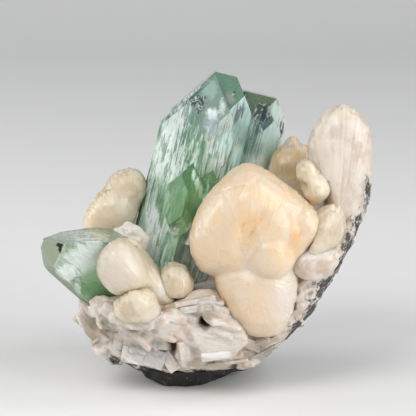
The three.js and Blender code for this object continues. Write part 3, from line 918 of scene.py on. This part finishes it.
def crystal_finish(name, foot, turn, shades, patches, silky, fog):
    """
    Green glass under a satin of silky streaks, milky veils and flakes that run along the prism
    faces; the white of the streaks is partly painted sheen, and the edges carry painted
    highlights. The shades go from the foot to the tip, and the tip's own faces are smooth.
    """
    finish = Finish(name)
    deep, middle, high = shades
    own = finish.place(origin=foot, turn=turn, scale=(MM, MM, MM))
    height = finish.axis(own, "Z")
    lines = finish.cloud(0.55, 4, 0.75, finish.scaled(own, LINE_PACE))
    silk = finish.cloud(1.3, 8, 0.78, finish.scaled(own, SILK_PACE), 0.9)
    zones = finish.cloud(7, 3, 0.5, finish.scaled(own, ZONE_PACE))

    # 1 on the prism faces, which look away from the crystal's axis, and 0 on the tip faces.
    facing = finish.node("TexCoord", output="Normal")
    axis = Vector((0, 0, 1))
    axis.rotate(turn)
    upward = finish.node(
        "VectorMath", {"operation": "DOT_PRODUCT"}, {0: facing, 1: axis}, output="Value"
    )
    side = finish.band(upward, 0.45, 0.2)

    # The green from foot to tip, with the tint that some faces have.
    tint = finish.mix(finish.band(height + 22 * zones, 24, 42), deep, middle)
    tint = finish.mix(finish.band(height + 16 * zones, 50, 64), tint, high)
    facet = finish.node("Attribute", {"attribute_name": "facet"}, output="Color")
    strength = finish.node("Attribute", {"attribute_name": "facet"}, output="Alpha")
    tint = finish.mix(strength, tint, facet)

    # Flakes, and fine pale and dark streaks that are fainter on the faces with a tint.
    flat = finish.scaled(own, FLAKE_PACE)
    warp = finish.node("TexNoise", {}, {"Vector": flat, "Scale": 0.8, "Detail": 3}, output="Color")
    bent = finish.node("VectorMath", {"operation": "ADD"}, {0: flat, 1: warp})
    cells = finish.node("TexVoronoi", {}, {"Vector": bent, "Scale": 1.1}, output="Color")
    flakes = finish.axis(cells, "X")
    fibre = 0.5 * lines + 0.5 * silk + 0.1 * (flakes - 0.5)
    white = finish.band(fibre + 0.45 * zones, 0.68, 0.8)
    dark = finish.band(fibre, 0.5, 0.41)
    shaded = finish.node("VectorMath", {"operation": "SCALE"}, {0: tint, "Scale": 0.4})
    plain = 1 - 0.8 * strength
    tint = finish.mix(dark * 0.7 * silky * side * plain, tint, shaded)
    # The pale streaks are partly milky veils and partly painted silky sheen.
    tint = finish.mix(white * (0.1 + 0.75 * silky * side) * plain, tint, MILK_AND_HIGHLIGHT)

    # Patches, which cloud the glass too. Fine pale cracks show in the dark ones.
    veil = 0.56 + 0.32 * side
    cracked = 0
    flaky = finish.band(fibre + 0.2 * (flakes - 0.5), 0.46, 0.53)
    for centre, reach, shade, amount, streaky in patches:
        here = finish.patch(centre, reach, 2.2 * (silk - 0.5)) * amount
        here = here * (1 - streaky + streaky * flaky)
        tint = finish.mix(here, tint, shade)
        veil = veil + here * 0.3
        if shade in (SMOKE, HAZE):
            cracked = cracked + here
    cracks = (finish.cloud(2.2, 3, 0.5, flat, 0.8) - 0.5).maths("ABSOLUTE")
    cracks = finish.band(cracks, 0.035, 0.008) * finish.band(silk, 0.4, 0.56)
    tint = finish.mix(cracks * 0.9 * cracked, tint, MILK_AND_HIGHLIGHT)
    # Painted highlights: pale lines along the bevelled edges.
    edge = finish.mark("edge")
    tint = finish.mix(edge * (0.3 + 0.5 * silky), tint, MILK_AND_HIGHLIGHT)

    # The streaks are felt too, hardly on the tip faces.
    ripple = (lines + 0.9 * silk + 0.25 * flakes) * (0.04 + 0.96 * side) * plain
    wavy = finish.bump(ripple, 0.5 * MM, 0.85)
    glass = finish.node(
        "BsdfPrincipled",
        {},
        {
            "Base Color": GLASS,
            "Roughness": 0.03 + 0.12 * lines * side,
            "IOR": GLASS_IOR,
            "Transmission Weight": 1.0,
            "Normal": wavy,
        },
    )
    satin = finish.node(
        "BsdfPrincipled",
        {},
        {
            "Base Color": tint,
            "Roughness": 0.06 + 0.2 * lines * side,
            "Coat Weight": 1 - side,
            "Coat Roughness": 0.03,
            "Normal": wavy,
        },
    )
    blend = finish.node("MixShader", {}, {0: veil, 1: glass, 2: satin})
    return finish.surface(blend, finish.node("VolumeAbsorption", {}, fog))


# Faces of the group that stand out: a point on the face in mm, its tint and the strength.
GROUP_FACETS = [
    # Painted light: prism faces that lie in shade, made brighter.
    ((-2.7, -3.7, 54.2), FROST, 0.3),
    ((6.1, 8.4, 60.5), BRIGHT, 0.8),
    ((13.7, 14, 54.4), BRIGHT, 0.8),
    ((14.5, 11.3, 52.4), BRIGHT, 0.8),
    # Painted light: the front face of the main tip, tinted so that it looks lit.
    ((1.0, 4.3, 84.1), TIP, 0.8),
    ((4.2, 11.1, 86.3), colour(0.2, 0.37, 0.25), 0.9),
    ((-8.2, -4.9, 64.0), DEEP_GREEN, 0.9),
    ((-4.5, -7.1, 64.4), GREEN, 0.9),
    ((-2.0, -5.5, 62.4), PALE_MINT, 0.9),
    ((-9.8, -8.9, 57.0), colour(0.08, 0.24, 0.07), 0.9),
    ((-4.3, -9.2, 55.6), colour(0.12, 0.35, 0.09), 0.9),
    ((-8.7, -9.5, 47.8), GREEN, 0.7),
    ((-5.8, -8.0, 47.8), MINT, 0.7),
    ((1.2, -4.6, 63.0), GREEN, 0.9),
    ((15.9, 17.5, 81.9), OLIVE, 0.8),
    ((21.7, 23.6, 79.6), DEEP_GREEN, 0.8),
    ((18.0, 14.2, 75.9), colour(0.1, 0.15, 0.17), 0.8),
    ((20.5, 16.9, 74.9), PALE_MINT, 0.9),
]

# Places where the group is clouded, glazed or deeper green: the middle and half sizes of the
# patch in mm, its colour, the strength, and how far silky streaks break it up.
GROUP_PATCHES = [
    ((-12.8, 4.2, 66), (4.5, 9, 13), MILK_AND_HIGHLIGHT, 0.8, 0.7),
    ((-17, -1, 47), (3.6, 9, 10), MILK_AND_HIGHLIGHT, 0.9, 0.5),
    ((-14, -3, 58), (2.5, 9, 8), MINT, 0.6, 0.6),
    ((0.6, 8, 87), (3, 8, 4), TIP, 0.8, 0),
    ((-3.6, 5, 84.4), (4.6, 9, 2.4), SMOKE, 0.9, 0.5),
    ((-2.4, 3, 81.6), (2.0, 9, 3.4), SMOKE, 0.8, 0.7),
    ((-6.4, 5, 80.6), (1.4, 9, 3.4), SMOKE, 0.6, 0.7),
    # A painted highlight: the white glare on the front face of the main tip.
    ((1.2, 2, 80.4), (2.4, 3, 2.8), MILK_AND_HIGHLIGHT, 1, 0.2),
    ((4.4, 4, 82), (1.1, 4, 3.6), MILK_AND_HIGHLIGHT, 0.8, 0.3),
    ((2, -1, 73), (2.6, 6, 4.5), HAZE, 0.6, 0.8),
    ((7, 9, 84.5), (2.2, 3, 3), colour(0.4, 0.37, 0.34), 0.6, 0.3),
    ((8, 10, 85), (1.0, 3, 1.2), SMOKE, 0.8, 0.2),
    ((9.5, 9, 79), (4.5, 6, 5), SMOKE, 0.8, 0.7),
    ((16.8, 15, 78.2), (4.4, 7, 4), SMOKE, 1, 0.3),
    ((21, 17, 77.5), (2.2, 5, 3.8), colour(0.62, 0.82, 0.74), 0.9, 0.1),
    ((22.8, 20, 72.5), (0.9, 5, 3), SMOKE, 1, 0.2),
    ((15.3, 11, 63), (3.5, 4, 4), MILK_AND_HIGHLIGHT, 0.9, 0.4),
    ((5.5, 0, 69), (5, 6, 7), MILK_AND_HIGHLIGHT, 0.7, 0.7),
    ((1.5, 0, 77), (4, 6, 5), LAVENDER, 0.8, 0.5),
    ((5.5, 3, 71.5), (4, 6, 4.5), BRIGHT, 0.8, 0.6),
    ((0.5, 0, 71), (2.2, 6, 9), MILK_AND_HIGHLIGHT, 0.5, 0.8),
    ((10.5, 9, 73), (5, 9, 5.5), FROST, 0.8, 0.3),
    ((9, 9, 66), (3, 8, 5), BRIGHT, 0.8, 0.3),
    ((-2, -3, 58), (8, 9, 7), LEAF, 0.8, 0.3),
    ((-4, -3, 38), (8, 6, 9), LEAF, 0.9, 0.1),
    ((-9, -8, 44), (2, 6, 6), LEAF, 0.8, 0.2),
    ((-3, -3, 38), (6, 6, 9), MILK_AND_HIGHLIGHT, 1, 0.95),
    ((-1, -1, 33), (5, 6, 4), MILK_AND_HIGHLIGHT, 0.8, 0.8),
    ((-7, -7, 41), (3, 6, 5), MILK_AND_HIGHLIGHT, 0.9, 0.9),
    ((-19.5, -1, 52), (1.4, 9, 30), GREEN, 0.6, 0.2),
    ((14.5, 14, 68), (4, 8, 4), FROST, 0.7, 0.3),
    ((18.5, 16, 66), (2.4, 6, 8), PALE_MINT, 0.6, 0.4),
    ((-8.4, -11, 56), (5.4, 5, 6), DEEP_GREEN, 0.6, 0.1),
    ((-7, -9, 49), (3, 4, 5), LEAF, 0.7, 0),
    ((-10.5, -7, 42), (4.5, 6, 6), PALE_MINT, 0.7, 0.3),
    ((-18.4, -4, 43), (2.4, 6, 9), MILK_AND_HIGHLIGHT, 0.9, 0.3),
    ((-4.1, -9, 64.4), (0.8, 6, 2.4), PALE_LEAF, 1, 0.1),
    ((-3.1, -9, 61.8), (0.9, 6, 2.6), PALE_LEAF, 1, 0.1),
    ((-2.1, -8.6, 58.8), (0.9, 6, 2.6), PALE_LEAF, 1, 0.1),
    ((-1.1, -8.2, 55.8), (0.8, 6, 2.4), PALE_LEAF, 1, 0.2),
    ((-10, -8, 47.4), (2.4, 6, 2.4), MILK_AND_HIGHLIGHT, 0.9, 0.5),
    ((-5, -8, 47.4), (2, 6, 3), MILK_AND_HIGHLIGHT, 0.9, 0.4),
]

GROUP_FOOT = Vector((-13.3, 1, 26.7)) * MM
GROUP_LEAN_RIGHT = math.radians(14)
GROUP_LEAN_BACK = math.radians(8)
GROUP_SHADES = (GREEN, MINT, FROST)
GROUP_FOG = {"Color": colour(0.3, 0.82, 0.5), "Density": 120}

lean_right = Matrix.Rotation(GROUP_LEAN_RIGHT, 3, "Y")
group_turn = lean_right @ Matrix.Rotation(-GROUP_LEAN_BACK, 3, "X")
group = copied("apophyllite_main_group", "apophyllite_prisms")
edged(group, GROUP_FACETS)
group.data.materials.append(
    crystal_finish(
        "green apophyllite",
        GROUP_FOOT,
        group_turn.to_euler(),
        GROUP_SHADES,
        GROUP_PATCHES,
        silky=1,
        fog=GROUP_FOG,
    )
)
settled(group, "apophyllite_main_group")

# The blunt pale crystal at the left, less silky: its two tinted faces and its patches, in the
# same terms.
LEFT_FOOT = Vector((-22, -16, 28)) * MM
LEFT_LEAN = math.radians(-55)
LEFT_SHADES = (colour(0.16, 0.28, 0.13), colour(0.34, 0.46, 0.33), colour(0.4, 0.46, 0.36))
LEFT_FOG = {"Color": colour(0.35, 0.85, 0.55), "Density": 70}
LEFT_FACETS = [
    ((-44.4, -26, 46), colour(0.62, 0.67, 0.5), 0.9),
    ((-42, -22.3, 35.5), OLIVE, 0.5),
]
LEFT_PATCHES = [
    ((-35, -24, 43.5), (9, 6, 7), MILK_AND_HIGHLIGHT, 0.7, 0.1),
    ((-41, -26, 39), (4.4, 6, 3.6), MILK_AND_HIGHLIGHT, 0.8, 0.2),
    ((-36, -18, 48.5), (12, 8, 1.2), MILK_AND_HIGHLIGHT, 0.6, 0.6),
    ((-43.1, -26.5, 47.7), (1.5, 3, 0.9), INK, 1, 0),
    ((-42.7, -26.5, 46.5), (0.7, 3, 1.5), INK, 1, 0),
    ((-33, -22, 36.5), (5, 6, 5), LEAF, 0.7, 0.1),
    ((-33, -22, 32.5), (7, 6, 3.4), GREEN, 0.8, 0.3),
    ((-38, -24, 34.5), (1.2, 6, 5), MILK_AND_HIGHLIGHT, 0.5, 0.6),
]

left = copied("apophyllite_left", "apophyllite_blunt")
edged(left, LEFT_FACETS)
left.data.materials.append(
    crystal_finish(
        "pale apophyllite",
        LEFT_FOOT,
        Matrix.Rotation(LEFT_LEAN, 3, "Y").to_euler(),
        LEFT_SHADES,
        LEFT_PATCHES,
        silky=0.25,
        fog=LEFT_FOG,
    )
)
settled(left, "apophyllite_left")

# ---- Stage ---------------------------------------------------------------------------------
# A pale matt floor that sweeps up behind the cluster, and four soft lamps around it in a dim
# room.
NEARLY = 0.99
FLOOR_HALF = 1.5
SWEEP_START = 0.55
SWEEP_RADIUS = 0.35
SWEEP_STEPS = 16
WALL_HEIGHT = 1.5
FLOOR_WHITE = colour(0.82, 0.82, 0.81)
FLOOR_ROUGHNESS = 0.85
ROOM_WHITE = colour(0.8, 0.82, 0.85)
ROOM_LIGHT = 0.3

floor_shape = bmesh.new()
bmesh.ops.create_grid(floor_shape, x_segments=1, y_segments=1, size=FLOOR_HALF)
far_edge = [
    edge
    for edge in floor_shape.edges
    if all(vert.co.y > FLOOR_HALF * NEARLY for vert in edge.verts)
]
bmesh.ops.translate(
    floor_shape,
    vec=(0, SWEEP_START - FLOOR_HALF, 0),
    verts=list({vert for edge in far_edge for vert in edge.verts}),
)
bmesh.ops.spin(
    floor_shape,
    geom=far_edge,
    cent=(0, SWEEP_START, SWEEP_RADIUS),
    axis=(1, 0, 0),
    angle=math.radians(90),
    steps=SWEEP_STEPS,
)
top_edge = [
    edge
    for edge in floor_shape.edges
    if all(vert.co.z > SWEEP_RADIUS * NEARLY for vert in edge.verts)
]
lifted = bmesh.ops.extrude_edge_only(floor_shape, edges=top_edge)["geom"]
bmesh.ops.translate(
    floor_shape,
    vec=(0, 0, WALL_HEIGHT),
    verts=[item for item in lifted if isinstance(item, bmesh.types.BMVert)],
)
for face in floor_shape.faces:
    face.smooth = True
floor_mesh = bpy.data.meshes.new("floor")
floor_shape.to_mesh(floor_mesh)
floor_shape.free()
floor = bpy.data.objects.new("floor", floor_mesh)
bpy.context.collection.objects.link(floor)
finish = Finish("pale floor")
paint = {"Base Color": FLOOR_WHITE, "Roughness": FLOOR_ROUGHNESS}
floor.data.materials.append(finish.surface(finish.node("BsdfPrincipled", {}, paint)))


def lamp(name, place, size, power):
    """A soft lamp that faces the cluster: its place and size in metres and its power in watts."""
    light = bpy.data.lights.new(name, "AREA")
    light.shape = "RECTANGLE"
    light.size, light.size_y = size
    light.energy = power
    holder = bpy.data.objects.new(name, light)
    bpy.context.collection.objects.link(holder)
    holder.location = place
    holder.rotation_euler = (Vector(place) - CAMERA_AIM).to_track_quat("Z", "Y").to_euler()


# From the front at the left and at the right, from high at the right, and from the left.
lamp("key", (-0.35, -0.45, 0.6), (0.4, 0.4), 3)
lamp("fill", (0.6, -0.4, 0.3), (0.5, 0.5), 3.5)
lamp("top", (0.45, -0.02, 0.55), (0.25, 0.25), 1.0)
lamp("rim", (-0.66, 0.12, 0.28), (0.3, 0.4), 2)

world = bpy.data.worlds.new("studio")
world.use_nodes = True
background = world.node_tree.nodes["Background"]
background.inputs["Color"].default_value = ROOM_WHITE
background.inputs["Strength"].default_value = ROOM_LIGHT
bpy.context.scene.world = world
bpy.context.scene.view_settings.view_transform = "Standard"
